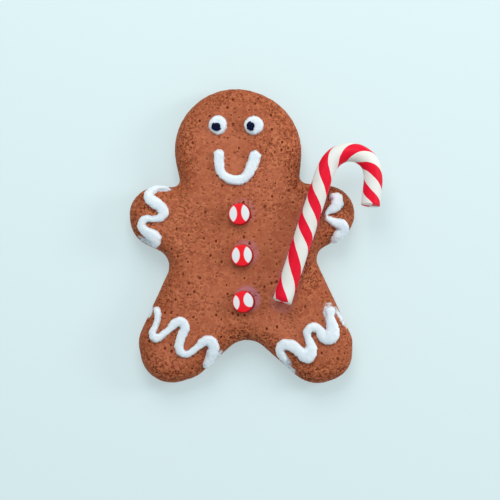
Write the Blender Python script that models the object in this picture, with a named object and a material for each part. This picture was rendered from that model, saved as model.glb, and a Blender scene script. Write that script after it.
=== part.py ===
"""Gingerbread man shaped biscuit in modelling clay, lying on its back.

The biscuit is a rounded slab with a level underside. Piped lines trim its arms
and legs, three slices of candy cane are its buttons, and a whole candy cane lies
across its left arm. The head points along +Y and the decorated face looks along
+Z. The origin is under the middle of the whole, on the surface it lies on.
"""

import math

import bmesh
import bpy
from mathutils import Matrix, Vector
from mathutils.bvhtree import BVHTree

MM = 0.001
GAP = 0.25 * MM

# Slab of dough
THICKNESS = 7.5 * MM
TOP_ROUND = 3.2 * MM
TOP_ROUND_DROP = 3.4 * MM
BOTTOM_ROUND = 1.2 * MM
BOTTOM_ROUND_RISE = 1.8 * MM
CROWN_WIDTH = 1.4 * MM
CROWN_RISE = 0.15 * MM
ARC_STEP = math.radians(10)
TOP_STEPS = 4
BOTTOM_STEPS = 3

# Both faces of the rolled sheet dip a little short of flat, all but a patch that it rests on
SHEET_SQUARE = 6.3 * MM
SHEET_SNAP = 0.35 * MM
SHEET_DIP = 0.05 * MM
SHEET_WAVE = 17.0 * MM
REST_PLACE = (-3.0 * MM, 0.0)
REST_RADIUS = 12.0 * MM

# The outline is a band round these circles, met in turn going anticlockwise.
# Each has its centre and radius in mm. A negative radius bends into the dough.
OUTLINE = {
    "head_right": (-3.8, 19.8, 14.65),
    "head_left": (-4.6, 20.4, 14.4),
    "neck_left": (-19.4, 13.3, -1.6),
    "wrist_left": (-23.1, 5.2, 6.5),
    "hand_left": (-22.7, 4.3, 6.8),
    "armpit_left": (-24.5, -7.0, -4.2),
    "calf_left": (-20.4, -24.9, 7.0),
    "heel_left": (-19.6, -26.9, 7.4),
    "toe_left": (-17.2, -26.6, 7.0),
    "crotch": (-2.0, -30.2, -5.9),
    "toe_right": (14.6, -26.6, 7.8),
    "heel_right": (16.4, -27.5, 6.3),
    "calf_right": (17.7, -25.0, 5.1),
    "armpit_right": (17.7, -5.3, -3.3),
    "hand_right": (16.7, 5.4, 6.6),
    "neck_right": (12.2, 14.3, -1.8),
}

# Piped lines: x, y and width in mm along each, at its turns
BEAD_FLATNESS = 0.6
BEAD_LIFT = 0.1 * MM
BEAD_SIDES = 6
BEAD_STEPS = 8
BEAD_TIP = 0.35
BEAD_TIP_REACH = 0.8
BEAD_VOXEL = 0.22 * MM
BEAD_KEEP = 0.15
LEFT_ARM_LINE = [
    (-19.8, 11.0, 0.7),
    (-21.2, 11.0, 1.1),
    (-22.8, 10.9, 1.5),
    (-24.3, 10.1, 2.1),
    (-24.7, 8.9, 2.6),
    (-23.6, 7.8, 2.6),
    (-22.2, 6.8, 2.3),
    (-21.5, 5.7, 2.4),
    (-22.2, 4.4, 1.9),
    (-24.1, 4.0, 1.4),
    (-25.7, 4.0, 1.7),
    (-26.5, 3.0, 1.9),
    (-26.0, 1.6, 2.0),
    (-24.6, 0.6, 2.5),
    (-23.4, -0.3, 2.8),
    (-23.1, -1.7, 2.2),
]
RIGHT_ARM_LINE = [
    (17.8, 9.4, 1.5),
    (18.9, 8.7, 2.7),
    (19.0, 7.5, 2.8),
    (18.3, 6.5, 2.1),
    (17.1, 5.8, 1.3),
    (16.6, 4.9, 1.1),
    (17.4, 3.8, 1.5),
    (18.8, 3.1, 2.0),
    (20.2, 2.5, 2.6),
    (20.0, 1.3, 2.8),
    (19.0, 0.2, 2.5),
    (18.1, -0.8, 1.6),
]
LEFT_LEG_LINE = [
    (-22.8, -17.1, 1.7),
    (-22.7, -18.2, 1.6),
    (-22.8, -19.6, 1.5),
    (-23.4, -21.4, 1.5),
    (-23.9, -23.1, 1.8),
    (-23.2, -23.9, 1.9),
    (-21.7, -23.1, 1.5),
    (-20.1, -21.8, 1.5),
    (-18.8, -20.5, 2.0),
    (-17.4, -20.1, 2.2),
    (-16.5, -21.2, 2.2),
    (-17.0, -22.9, 2.1),
    (-17.7, -24.8, 2.0),
    (-17.8, -26.3, 1.9),
    (-17.0, -27.4, 1.7),
    (-15.9, -27.6, 1.5),
    (-14.7, -26.9, 1.4),
    (-13.5, -26.0, 1.5),
    (-12.2, -24.8, 2.0),
    (-10.8, -24.5, 2.6),
    (-9.9, -25.7, 2.6),
    (-10.2, -27.1, 2.5),
    (-10.9, -28.7, 2.3),
    (-11.8, -30.0, 1.9),
]
RIGHT_LEG_LINE = [
    (17.3, -17.3, 2.3),
    (17.3, -18.7, 1.9),
    (17.6, -20.3, 2.3),
    (18.0, -22.0, 3.0),
    (17.4, -23.5, 3.5),
    (16.2, -23.8, 2.6),
    (15.0, -22.1, 2.0),
    (13.5, -21.3, 2.1),
    (12.2, -22.2, 1.9),
    (12.2, -23.7, 1.6),
    (12.8, -25.1, 2.0),
    (12.9, -26.8, 2.9),
    (12.1, -27.9, 3.5),
    (10.5, -27.2, 2.3),
    (9.5, -26.3, 2.3),
    (8.1, -25.5, 2.6),
    (6.6, -25.4, 2.5),
    (5.9, -26.4, 2.2),
    (6.5, -27.8, 1.9),
    (7.3, -29.0, 1.3),
]
MOUTH_LINE = [
    (-8.5, 19.5, 2.3),
    (-8.5, 17.8, 2.3),
    (-8.4, 16.2, 2.2),
    (-7.9, 14.7, 2.0),
    (-6.9, 13.8, 2.0),
    (-5.6, 13.2, 2.2),
    (-4.2, 13.1, 2.2),
    (-2.8, 13.4, 2.0),
    (-1.8, 14.5, 2.3),
    (-1.1, 15.9, 2.5),
    (-0.4, 17.5, 2.5),
    (-0.0, 19.0, 2.6),
]

# Eyes: centre, width and length in mm, then the height over the dough
LEFT_EYE = (-8.8, 26.0, 4.4, 4.7)
RIGHT_EYE = (-0.4, 25.9, 4.8, 4.6)
LEFT_PUPIL = (-9.1, 25.6, 2.2, 2.0)
RIGHT_PUPIL = (-1.0, 25.7, 1.9, 2.0)
EYE_HEIGHT = 0.8 * MM
PUPIL_RISE = 0.6 * MM
PUPIL_HEIGHT = 0.65 * MM
DOT_SEGMENTS = 20
DOT_RINGS = 10

# Buttons: slices of a thin cane, pressed a little out of square
BUTTON_RADIUS = 2.5 * MM
BUTTON_HEIGHT = 1.7 * MM
BUTTON_EDGE = 0.3 * MM
BUTTON_EDGE_STEPS = 2
BUTTON_LEAN = 0.35 * MM
BUTTON_SEGMENTS = 32
BUTTONS = {
    "button_upper": (-3.8, 5.1),
    "button_middle": (-3.2, -4.6),
    "button_lower": (-2.9, -15.4),
}

# Candy cane: its centre line in mm, from the lower end of the shank to the end of the crook
CANE_RADIUS = 2.27 * MM
CANE_SIDES = 4
CANE_STEPS = 4
CANE_BLADE_SLANT = 0.15
CANE_LINE = [
    (6.2, -15.3),
    (10.2, -3.2),
    (14.1, 8.5),
    (15.1, 11.5),
    (16.3, 15.0),
    (17.9, 17.7),
    (20.1, 19.1),
    (22.7, 19.4),
    (25.2, 18.4),
    (26.9, 16.3),
    (27.35, 13.6),
    (27.15, 10.4),
    (26.8, 7.1),
]

# Finishes: colour and roughness
DOUGH_BROWN = ((0.40, 0.12, 0.053, 1.0), 0.6)
ICING_WHITE = ((0.70, 0.79, 0.86, 1.0), 0.3)
PUPIL_BLACK = ((0.012, 0.014, 0.03, 1.0), 0.35)
CANDY_RED = ((0.78, 0.015, 0.04, 1.0), 0.45)
SHARP_ANGLE = math.radians(40)


def clear_scene():
    for obj in list(bpy.data.objects):
        bpy.data.objects.remove(obj, do_unlink=True)


def material(name, finish):
    colour, roughness = finish
    made = bpy.data.materials.new(name)
    made.use_nodes = True
    shader = made.node_tree.nodes["Principled BSDF"]
    shader.inputs["Base Color"].default_value = colour
    shader.inputs["Roughness"].default_value = roughness
    shader.inputs["Metallic"].default_value = 0.0
    return made


def add_object(name, bm, finish):
    """A named object from a bmesh, smooth except at its hard edges."""
    bmesh.ops.recalc_face_normals(bm, faces=bm.faces)
    mesh = bpy.data.meshes.new(name)
    bm.to_mesh(mesh)
    bm.free()
    mesh.shade_smooth()
    mesh.set_sharp_from_angle(angle=SHARP_ANGLE)
    mesh.materials.append(finish)
    obj = bpy.data.objects.new(name, mesh)
    bpy.context.scene.collection.objects.link(obj)
    return obj


def make_guide(obj):
    obj.hide_render = True
    obj.display_type = "WIRE"


def cut(obj, cutter):
    boolean = obj.modifiers.new("cut_" + cutter.name, "BOOLEAN")
    boolean.operation = "DIFFERENCE"
    boolean.solver = "EXACT"
    boolean.object = cutter


def melt_together(obj):
    """Joins the inside of each tight bend, as soft icing does, and thins the mesh that it makes."""
    remesh = obj.modifiers.new("melt", "REMESH")
    remesh.mode = "VOXEL"
    remesh.voxel_size = BEAD_VOXEL
    decimate = obj.modifiers.new("thin", "DECIMATE")
    decimate.ratio = BEAD_KEEP


def outline_points(inset):
    """The band round OUTLINE, moved into the dough by inset, as points in the plane."""
    circles = [(x * MM, y * MM, r * MM - inset) for x, y, r in OUTLINE.values()]
    headings = []
    for (ax, ay, ar), (bx, by, br) in zip(circles, circles[1:] + circles[:1]):
        along = math.atan2(by - ay, bx - ax)
        headings.append(along - math.asin((br - ar) / math.hypot(bx - ax, by - ay)))
    points = []
    for index, (x, y, r) in enumerate(circles):
        start = headings[index - 1]
        turn = math.remainder(headings[index] - start, math.tau)
        if turn * r < 0:
            turn += math.copysign(math.tau, r)
        steps = max(2, math.ceil(abs(turn) / ARC_STEP))
        for step in range(steps + 1):
            heading = start + turn * step / steps
            points.append((x + r * math.sin(heading), y - r * math.cos(heading)))
    return points


def dough_levels(grow):
    """(inset, height) of each ring from the underside to the top, for a slab grown by grow."""
    levels = []
    for step in range(BOTTOM_STEPS + 1):
        angle = math.pi / 2 * step / BOTTOM_STEPS
        inset = BOTTOM_ROUND * (1 - math.sin(angle))
        height = BOTTOM_ROUND_RISE * (1 - math.cos(angle))
        levels.append((inset - grow * math.sin(angle), height - grow * math.cos(angle)))
    shoulder = THICKNESS - CROWN_RISE - TOP_ROUND_DROP
    for step in range(TOP_STEPS + 1):
        angle = math.pi / 2 * step / TOP_STEPS
        inset = TOP_ROUND * (1 - math.cos(angle))
        height = shoulder + TOP_ROUND_DROP * math.sin(angle)
        levels.append((inset - grow * math.cos(angle), height + grow * math.sin(angle)))
    levels.append((TOP_ROUND + CROWN_WIDTH, THICKNESS + grow))
    return levels


def split_into_squares(bm, cap):
    """Divides a flat face along a square grid, and gives the corners that lie inside it."""
    faces = [cap]
    for normal in (Vector((1, 0, 0)), Vector((0, 1, 0))):
        reach = [vert.co.dot(normal) for face in faces for vert in face.verts]
        place = (math.floor(min(reach) / SHEET_SQUARE) + 1) * SHEET_SQUARE
        while place < max(reach):
            parts = {item for face in faces for item in [face, *face.edges, *face.verts]}
            split = bmesh.ops.bisect_plane(
                bm, geom=list(parts), dist=SHEET_SNAP, plane_co=normal * place, plane_no=normal
            )["geom"]
            faces = [item for item in split if isinstance(item, bmesh.types.BMFace)]
            place += SHEET_SQUARE
    corners = {vert for face in faces for vert in face.verts}
    inner = [vert for vert in corners if set(vert.link_faces).issubset(faces)]
    bmesh.ops.triangulate(bm, faces=faces, quad_method="BEAUTY", ngon_method="BEAUTY")
    return inner


def sheet_dip(x, y):
    """How far a face of the rolled sheet falls short of flat."""
    wave = math.sin(math.tau * x / SHEET_WAVE) * math.cos(math.tau * y / SHEET_WAVE)
    return SHEET_DIP * (1.5 + wave) / 2.5


def dough_slab(name, grow, finish):
    """Extrudes the outline's face from level to level, each one at its own inset."""
    (inset, height), *upper_levels = dough_levels(grow)
    bm = bmesh.new()
    ring = [bm.verts.new((x, y, height)) for x, y in outline_points(inset)]
    underside = bm.faces.new(ring)
    face = underside
    for inset, height in upper_levels:
        made = bmesh.ops.extrude_face_region(bm, geom=[face])["geom"]
        raised = next(item for item in made if isinstance(item, bmesh.types.BMFace))
        copies = {tuple(vert.co): vert for vert in raised.verts}
        ring = [copies[tuple(vert.co)] for vert in ring]
        if face is not underside:
            bmesh.ops.delete(bm, geom=[face], context="FACES_ONLY")
        for vert, (x, y) in zip(ring, outline_points(inset)):
            vert.co = (x, y, height)
        face = raised
    for cap, inward, rest_radius in ((underside, 1, REST_RADIUS), (face, -1, 0.0)):
        for vert in split_into_squares(bm, cap):
            x, y, _ = vert.co
            if math.dist((x, y), REST_PLACE) > rest_radius:
                vert.co.z += inward * sheet_dip(x, y)
    return add_object(name, bm, finish)


def bead_profile():
    """The flattened round section that a piped line is swept with, one unit across its half width."""
    bpy.ops.curve.primitive_bezier_circle_add(radius=1.0)
    profile = bpy.context.object
    profile.name = "bead_profile"
    profile.data.resolution_u = BEAD_SIDES
    for point in profile.data.splines[0].bezier_points:
        for corner in (point.handle_left, point.co, point.handle_right):
            corner.y *= BEAD_FLATNESS
    make_guide(profile)
    return profile


def swept_tube(name, points, radii, steps, profile=None, sides=0):
    """A bmesh of a smooth curve through points, swept with a section whose radius follows radii."""
    curve = bpy.data.curves.new(name, "CURVE")
    curve.dimensions = "3D"
    curve.twist_mode = "Z_UP"
    curve.resolution_u = steps
    curve.use_fill_caps = True
    if profile:
        curve.bevel_mode = "OBJECT"
        curve.bevel_object = profile
    else:
        curve.bevel_depth = 1.0
        curve.bevel_resolution = sides
    spline = curve.splines.new("BEZIER")
    spline.bezier_points.add(len(points) - 1)
    for knot, point, radius in zip(spline.bezier_points, points, radii):
        knot.co = point
        knot.radius = radius
        knot.handle_left_type = "AUTO"
        knot.handle_right_type = "AUTO"
    guide = bpy.data.objects.new(name + "_line", curve)
    bpy.context.scene.collection.objects.link(guide)
    graph = bpy.context.evaluated_depsgraph_get()
    swept = bpy.data.meshes.new_from_object(guide.evaluated_get(graph))
    bm = bmesh.new()
    bm.from_mesh(swept)
    bmesh.ops.remove_doubles(bm, verts=bm.verts, dist=GAP / 100)
    bpy.data.objects.remove(guide, do_unlink=True)
    return bm


def surface_height(surface, x, y):
    """The height of the dough under a point of its face, or of its widest edge beyond it."""
    hit = surface.ray_cast(Vector((x, y, 2 * THICKNESS)), Vector((0, 0, -1)))[0]
    return hit.z if hit else THICKNESS - CROWN_RISE - TOP_ROUND_DROP


def icing_bead(name, line, surface, slab_cutter, profile, finish):
    """A piped line draped over the dough, with a rounded tip at each end."""
    knots = [(Vector((x, y)) * MM, width * MM / 2) for x, y, width in line]
    for end, inner in ((0, 1), (-1, -2)):
        place, radius = knots[end]
        outward = (place - knots[inner][0]).normalized()
        tip = (place + outward * radius * BEAD_TIP_REACH, radius * BEAD_TIP)
        knots.insert(0 if end == 0 else len(knots), tip)
    points = [(p.x, p.y, surface_height(surface, p.x, p.y) + BEAD_LIFT) for p, _ in knots]
    radii = [radius for _, radius in knots]
    bm = swept_tube(name, points, radii, BEAD_STEPS, profile=profile)
    bead = add_object(name, bm, finish)
    melt_together(bead)
    cut(bead, slab_cutter)
    return bead


def dot(name, size, base, height, finish, grow=0.0):
    """A flattened ball of icing, centred at base and rising to height above it."""
    x, y, width, length = (value * MM for value in size)
    bm = bmesh.new()
    bmesh.ops.create_uvsphere(bm, u_segments=DOT_SEGMENTS, v_segments=DOT_RINGS, radius=1.0)
    bmesh.ops.scale(bm, verts=bm.verts, vec=(width / 2 + grow, length / 2 + grow, height + grow))
    bmesh.ops.translate(bm, verts=bm.verts, vec=(x, y, base))
    return add_object(name, bm, finish)


def button(name, place, finish):
    """A slice of cane: a short round block with softened rims, its top pushed to one side."""
    bm = bmesh.new()
    bmesh.ops.create_cone(
        bm,
        cap_ends=True,
        segments=BUTTON_SEGMENTS,
        radius1=BUTTON_RADIUS + BUTTON_LEAN / 2,
        radius2=BUTTON_RADIUS,
        depth=BUTTON_HEIGHT,
    )
    rims = [edge for edge in bm.edges if len({round(v.co.z, 6) for v in edge.verts}) == 1]
    bmesh.ops.bevel(
        bm,
        geom=rims,
        offset=BUTTON_EDGE,
        segments=BUTTON_EDGE_STEPS,
        profile=0.5,
        affect="EDGES",
        material=-1,
    )
    for vert in bm.verts:
        vert.co.x += BUTTON_LEAN * (0.5 - vert.co.z / BUTTON_HEIGHT) - BUTTON_LEAN / 2
    x, y = place
    middle = THICKNESS + GAP + BUTTON_HEIGHT / 2
    bmesh.ops.translate(bm, verts=bm.verts, vec=(x * MM, y * MM, middle))
    return add_object(name, bm, finish)


def candy_cane(finish):
    """A round stick with a crook, lying on the dough, each end cut on a slant by a blade."""
    height = THICKNESS + GAP + CANE_RADIUS
    points = [Vector((x * MM, y * MM, height)) for x, y in CANE_LINE]
    radii = [CANE_RADIUS] * len(points)
    bm = swept_tube("candy_cane", points, radii, CANE_STEPS, sides=CANE_SIDES)
    for end, inner in ((points[0], points[1]), (points[-1], points[-2])):
        outward = (end - inner).normalized()
        for vert in bm.verts:
            offset = vert.co - end
            if offset.length < CANE_RADIUS + GAP and abs(offset.dot(outward)) < GAP:
                vert.co -= outward * CANE_BLADE_SLANT * offset.z
    return add_object("candy_cane", bm, finish)


def centre_on_origin(objects):
    """Moves the whole so that its box stands on the origin."""
    bpy.context.view_layer.update()
    corners = [obj.matrix_world @ Vector(corner) for obj in objects for corner in obj.bound_box]
    low = Vector([min(corner[axis] for corner in corners) for axis in range(3)])
    high = Vector([max(corner[axis] for corner in corners) for axis in range(3)])
    middle = (low + high) / 2
    shift = Matrix.Translation((-middle.x, -middle.y, -low.z))
    for obj in bpy.data.objects:
        if obj.type == "MESH":
            obj.data.transform(shift)


def build():
    clear_scene()
    dough = material("dough", DOUGH_BROWN)
    icing = material("icing", ICING_WHITE)
    black = material("pupil", PUPIL_BLACK)
    candy = material("candy", CANDY_RED)

    cookie = dough_slab("cookie", 0.0, dough)
    slab_cutter = dough_slab("slab_cutter", GAP, dough)
    make_guide(slab_cutter)
    bm = bmesh.new()
    bm.from_mesh(cookie.data)
    surface = BVHTree.FromBMesh(bm)
    bm.free()

    profile = bead_profile()
    lines = {
        "icing_left_arm": LEFT_ARM_LINE,
        "icing_right_arm": RIGHT_ARM_LINE,
        "icing_left_leg": LEFT_LEG_LINE,
        "icing_right_leg": RIGHT_LEG_LINE,
        "mouth": MOUTH_LINE,
    }
    nodes = [cookie]
    for name, line in lines.items():
        nodes.append(icing_bead(name, line, surface, slab_cutter, profile, icing))
    bpy.data.objects.remove(profile, do_unlink=True)

    eyes = {
        "left": (LEFT_EYE, LEFT_PUPIL),
        "right": (RIGHT_EYE, RIGHT_PUPIL),
    }
    for side, (white_size, pupil_size) in eyes.items():
        white = dot("eye_" + side, white_size, THICKNESS, EYE_HEIGHT, icing)
        cut(white, slab_cutter)
        white_cutter = dot(
            "eye_" + side + "_cutter", white_size, THICKNESS, EYE_HEIGHT, icing, grow=GAP
        )
        make_guide(white_cutter)
        pupil = dot("pupil_" + side, pupil_size, THICKNESS + PUPIL_RISE, PUPIL_HEIGHT, black)
        cut(pupil, white_cutter)
        nodes += [white, pupil]

    for name, place in BUTTONS.items():
        nodes.append(button(name, place, candy))
    nodes.append(candy_cane(candy))
    centre_on_origin(nodes)


build()
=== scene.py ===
"""The finish of a gingerbread man biscuit made in modelling clay.

The slab gets its pressed pinholes and rough rims, the piped lines their soft
beads, and the candy cane and the buttons their twisted red and white clay.
Sizes are in metres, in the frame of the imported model, seen from above with the
head up.
"""

import math

import bmesh
import bpy
import numpy as np
from mathutils import Matrix, Vector, noise
from mathutils.bvhtree import BVHTree
from mathutils.kdtree import KDTree

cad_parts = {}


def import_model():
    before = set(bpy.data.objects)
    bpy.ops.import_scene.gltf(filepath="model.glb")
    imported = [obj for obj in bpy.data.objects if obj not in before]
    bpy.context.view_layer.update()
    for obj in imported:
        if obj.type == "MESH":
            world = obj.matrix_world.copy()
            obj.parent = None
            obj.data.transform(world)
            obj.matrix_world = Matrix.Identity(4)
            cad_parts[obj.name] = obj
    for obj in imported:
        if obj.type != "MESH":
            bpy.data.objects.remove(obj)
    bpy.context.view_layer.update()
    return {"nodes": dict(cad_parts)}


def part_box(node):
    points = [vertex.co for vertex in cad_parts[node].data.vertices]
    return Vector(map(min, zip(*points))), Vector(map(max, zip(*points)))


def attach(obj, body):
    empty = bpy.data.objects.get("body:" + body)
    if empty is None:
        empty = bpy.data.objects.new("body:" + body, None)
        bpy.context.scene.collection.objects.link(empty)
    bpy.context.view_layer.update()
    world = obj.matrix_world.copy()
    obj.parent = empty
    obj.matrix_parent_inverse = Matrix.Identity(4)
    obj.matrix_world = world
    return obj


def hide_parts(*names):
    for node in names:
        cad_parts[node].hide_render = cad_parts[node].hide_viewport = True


MM = 0.001
MERGE_REACH = 0.002 * MM
# The middle value of a noise texture, which runs from 0 to 1
NOISE_MIDDLE = 0.5

# Slab. A face comes to count as level as the upward part of its normal goes from one LEVEL_NORMAL
# to the other. A CORE is the share of a width or radius where an effect is full, and the reach by
# the cane of the glue and its painted sheen is in radii of the cane.
DOUGH_VOXEL = 0.225 * MM
DOUGH_SMOOTHING = 3
UNDERSIDE_DEPTH = 0.09 * MM
BASE_HEIGHT = 0.3 * MM
WALL_HEIGHT = 3.0 * MM
LEVEL_NORMAL = (0.8, 0.97)
RIM_WIDTH = 5.0 * MM
RIM_CORE = 0.4
SEAT_RISE = 0.3 * MM
SEAT_WIDTH = 1.2 * MM
SEAT_CORE = 0.3
BUTTON_SEAT_CORE = 0.85
# Round the cane and the buttons the dough is glossier with glue, and lightened pinker with a
# painted sheen, shifted up and right of each button
GLUE_AND_SHEEN_SHIFT = (0.9 * MM, 0.7 * MM)
GLUE_AND_SHEEN_REACH = 3.5 * MM
GLUE_AND_SHEEN_BY_CANE = 0.28
GLUE_AND_SHEEN_BY_CANE_REACH = 1.5
GLUE_AND_SHEEN_BY_BUTTON = {"button_upper": 0.35, "button_middle": 0.6, "button_lower": 1.0}

# Pinholes, at most one in each cell. Radii, edges and lips are in cells, the lips being where a
# painted highlight goes. SCALING is what a place is multiplied by, so a value under 1 draws the
# pinholes out that way.
PINHOLE_DEPTH = 0.3 * MM
PIT_BEND = 0.35 * MM
PIT_BEND_SIZE = 0.5 * MM
PIT_CLUSTER_SIZE = 5.0 * MM
PIT_EDGE = (-0.04, 0.04)
PIT_LIP_HIGHLIGHT = (-0.3, -0.08)
PIT_RADIUS_WITH_LIP_HIGHLIGHT = (0.0, 0.1)
LARGE_PIT_CELL = 1.3 * MM
LARGE_PIT_RADIUS = 0.21
LARGE_PIT_SCALING = (1.0, 0.75, 1.0)
SMALL_PIT_CELL = 0.85 * MM
SMALL_PIT_RADIUS = 0.31
SMALL_PIT_SCALING = (0.7, 1.0, 1.0)
SMALL_PIT_STRENGTH = 0.6
# A pit's radius grows from nothing to full over this much of its cell's random number
PIT_FULL_SIZE_DRAW = 0.4

# Creases, crumbs and grain of the dough. CREASE_BREAK_SIZE is a share of CREASE_SIZE.
CREASE_SIZE = 0.9 * MM
CREASE_LINE = (0.01, 0.07)
CREASE_BREAK_SIZE = 0.8
CREASE_BREAK = (0.42, 0.55)
CRUMB_DEPTH = 0.14 * MM
CRUMB_SIZE = 1.1 * MM
CRUMB_RISE = (0.3, 0.75)
CLOUD_SIZE = 9.0 * MM
CLOUD_RANGE = (0.3, 0.7)
GRAIN_SIZE = 0.8 * MM
PALE_GRAIN = (0.5, 0.66)
DARK_GRAIN = (0.5, 0.34)
DIMPLE_SIZE = 0.35 * MM
SPECK_SPACING = 6.0 * MM
SPECK_SHARE = 0.05
SPECK_RADII = (0.05, 0.09)

# Depth and strength of the fine bumps that only shading shows
DOUGH_BUMP = (0.08 * MM, 1.0)
ICING_BUMP = (0.04 * MM, 0.7)
PUPIL_BUMP = (0.06 * MM, 1.0)
CANE_BUMP = (0.03 * MM, 0.8)
BUTTON_BUMP = (0.03 * MM, 0.7)
PIT_IN_BUMP = 2.0

# Each changes with how clustered, crowded, coarse or glued the dough is there: from,
# to, and its value at each
CROWDING_BY_CLUSTER = (0.35, 0.65, -0.15, 0.15)
LARGE_PITS_BY_CROWD = (0.0, 1.0, 0.45, 1.0)
SMALL_PITS_BY_CROWD = (-0.1, 0.9, 0.6, 1.0)
CREASES_BY_CROWD = (0.1, 0.9, 0.08, 0.8)
CRUMBS_BY_COARSENESS = (0.25, 1.0, 0.1, 1.0)
PALE_BY_COARSENESS = (0.1, 0.9, 0.25, 0.5)
DARK_BY_COARSENESS = (0.1, 0.9, 0.3, 0.5)
LIP_HIGHLIGHTS_BY_COARSENESS = (0.1, 0.9, 0.2, 0.75)
ROUGHNESS_BY_GLUE = (0.0, 0.8, 0.62, 0.3)

# How strongly each colour lies over the dough: the painted shade at the rim, the painted sheen by
# the glue, and the painted shade in the pinholes and creases
RIM_SHADE_SHARE = 0.28
PAINTED_SHEEN_SHARE = 0.75
PINHOLE_SHADE_SHARE = 0.82

# How coarse the texture is everywhere, and how much more so at the rim
BASE_COARSENESS = 0.36
RIM_COARSENESS = 0.2
# Where it is coarser still, or finer: place and half size in mm, then how much
COARSE_PATCHES = [
    (6.0, 21.0, 9.0, 13.0, 0.3),
    # The next patch, right of the cane's lower end, roughens the dough there, and its darker grain
    # and pits also stand in for the cane's shadow as painted shade.
    (11.5, -10.5, 4.0, 9.0, 0.5),
    (-4.0, 33.0, 10.0, 5.0, 0.1),
    (-16.0, 24.0, 5.0, 9.0, 0.15),
    (8.0, 9.0, 9.0, 6.0, 0.22),
    (-17.0, 1.5, 8.0, 11.0, 0.3),
    (-25.0, 5.0, 8.0, 9.0, 0.35),
    (19.0, 4.5, 8.0, 9.0, 0.4),
    (-18.0, -32.0, 9.0, 4.5, 0.35),
    (14.0, -31.5, 9.0, 4.5, 0.35),
    (-2.0, -24.0, 12.0, 4.0, 0.3),
    (-3.0, -8.0, 9.0, 12.0, -0.2),
    (-4.0, 19.0, 6.0, 7.0, -0.15),
]

# White smeared thin on the dough: place and half size in mm, turn in degrees, strength
SMEARS = [
    (17.1, -18.0, 2.7, 4.0, 0.0, 0.95),
    (20.2, -19.3, 1.3, 6.0, 32.0, 0.9),
    (7.1, -29.2, 1.7, 3.0, 35.0, 0.95),
    (7.6, -30.8, 1.1, 4.6, 50.0, 0.95),
    (-24.7, -17.8, 1.2, 3.2, -18.0, 0.9),
    (-21.6, 10.9, 3.6, 1.3, 0.0, 0.85),
    (-25.3, -1.6, 1.1, 5.0, 60.0, 0.95),
    (18.8, -1.5, 2.6, 1.6, 30.0, 0.9),
    (-9.6, -28.7, 1.7, 4.4, -48.0, 1.0),
]
# Down the side the smears thin out between these heights, and they are worn in patches
SMEAR_HEIGHTS = (0.6 * MM, 4.6 * MM)
SMEAR_WEAR_SIZE = 0.9 * MM
SMEAR_COVER = (0.3, 0.75)
SMEAR_LIMIT = (0.0, 0.2)

# Piped lines
ICING_VOXEL = 0.13 * MM
ICING_SMOOTHING = 3
ICING_SWELL = 0.18 * MM
ICING_SHOULDER = 1.6
ICING_CONTACT = 0.42 * MM
ICING_SINK = 0.75 * MM
ICING_LUMP = 0.2 * MM
ICING_LUMP_SIZE = 0.85 * MM
ICING_EDGE = 0.5 * MM
ICING_EDGE_SHARE = 0.5
ICING_CLOUD_SIZE = 3.0 * MM
ICING_DIMPLE_SIZE = 0.5 * MM
ICING_SOFT_REACH = 0.6 * MM
# How much of the lumps is taken away on top, and the noise that makes them: how fast
# finer lumps fade, how many times finer each layer is, and how many layers there are
LEVELLING = 0.8
LUMP_NOISE = (0.7, 2.6, 3)
ICING_NODES = [
    "icing_left_arm",
    "icing_right_arm",
    "icing_left_leg",
    "icing_right_leg",
    "mouth",
    "eye_left",
    "eye_right",
]
PUPIL_VOXEL = 0.08 * MM
PUPIL_LUMP = 0.12 * MM
PUPIL_LUMP_SIZE = 0.8 * MM
PUPIL_SPREAD = 1.25
PUPIL_CLOUD_SIZE = 1.0 * MM
PUPIL_DIMPLE_SIZE = 0.4 * MM

# Candy cane. CANE_BLADE_REACH and CANE_SKIN, where the surface's relief sets in, are
# in radii. The MIDDLE is taken off the wobble, so that it mostly takes clay away.
CANE_RADIUS = 2.25 * MM
CANE_SIDES = 14
CANE_STEPS = 16
CANE_BLADE_SLANT = 0.15
CANE_BLADE_REACH = 1.5
CANE_GROOVE = 0.05 * MM
CANE_GROOVE_WIDTH = 0.22
CANE_WOBBLE = 0.05 * MM
CANE_WOBBLE_SIZE = 4.0 * MM
CANE_WOBBLE_MIDDLE = 0.5
CANE_SKIN = (0.7, 0.95)
CANE_CLOUD_SIZE = 4.0 * MM
CANE_DIMPLE_SIZE = 0.4 * MM
CANE_SPECK_SPACING = 5.0 * MM
CANE_SPECK_SHARE = 0.06
STRAND_EDGE = 0.06
STRAND_BLUR = 0.04
STRAND_RAGGEDNESS = 0.12
STRAND_RAGGED_SIZE = 1.2 * MM
# Rings that round off and close a cut end: share of the radius, and rise in mm
CANE_END_RINGS = [(0.97, 0.05), (0.9, 0.09), (0.6, 0.1), (0.3, 0.1), (0.05, 0.1)]
# Centre line in mm, from the lower end of the shank to the end of the crook
CANE_LINE = [
    (6.2, -15.5),
    (10.2, -3.4),
    (14.1, 8.3),
    (15.1, 11.3),
    (16.3, 14.8),
    (17.9, 17.5),
    (20.1, 18.9),
    (22.7, 19.2),
    (25.2, 18.2),
    (26.9, 16.1),
    (27.35, 13.4),
    (27.15, 10.2),
    (26.8, 6.9),
]
# Distances along the centre line, in mm, at which a red strand's middle is on the outer side
STRAND_PLACES = [-5.0, 4.4, 13.9, 20.5, 27.3, 35.6, 43.3, 50.3, 56.4, 62.5]

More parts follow.
